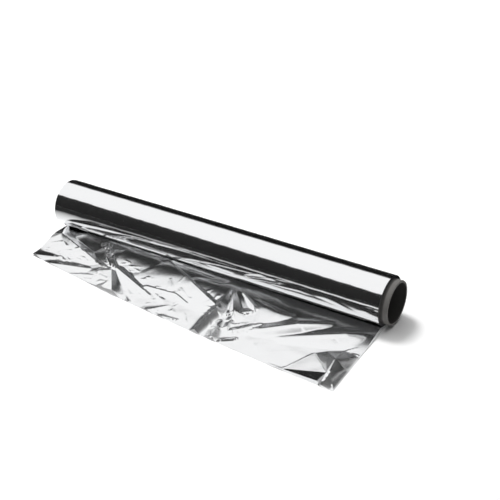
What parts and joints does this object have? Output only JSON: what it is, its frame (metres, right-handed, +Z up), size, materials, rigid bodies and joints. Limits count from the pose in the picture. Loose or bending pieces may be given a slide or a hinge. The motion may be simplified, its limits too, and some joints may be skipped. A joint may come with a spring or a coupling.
{
  "type": "aluminium foil roll",
  "caption": "Household aluminium foil roll: a web of foil wound on a paperboard core tube, lying on its side with a creased leaf drawn off its underside.",
  "frame": {"origin": "on the roll's axis, at the middle of the foil's width", "axes": "+X along the roll's axis towards the end where the core tube stands proud of the foil, -Y the way the leaf is drawn, +Z up"},
  "size_m": [0.311, 0.118, 0.04],
  "materials": {
    "chipboard": "plain grey chipboard, spiral wound, matt",
    "foil": "bright rolled foil outside, satin inside"
  },
  "bodies": {
    "root": {"core_tube": "chipboard", "foil": "foil"}
  },
  "joints": []
}
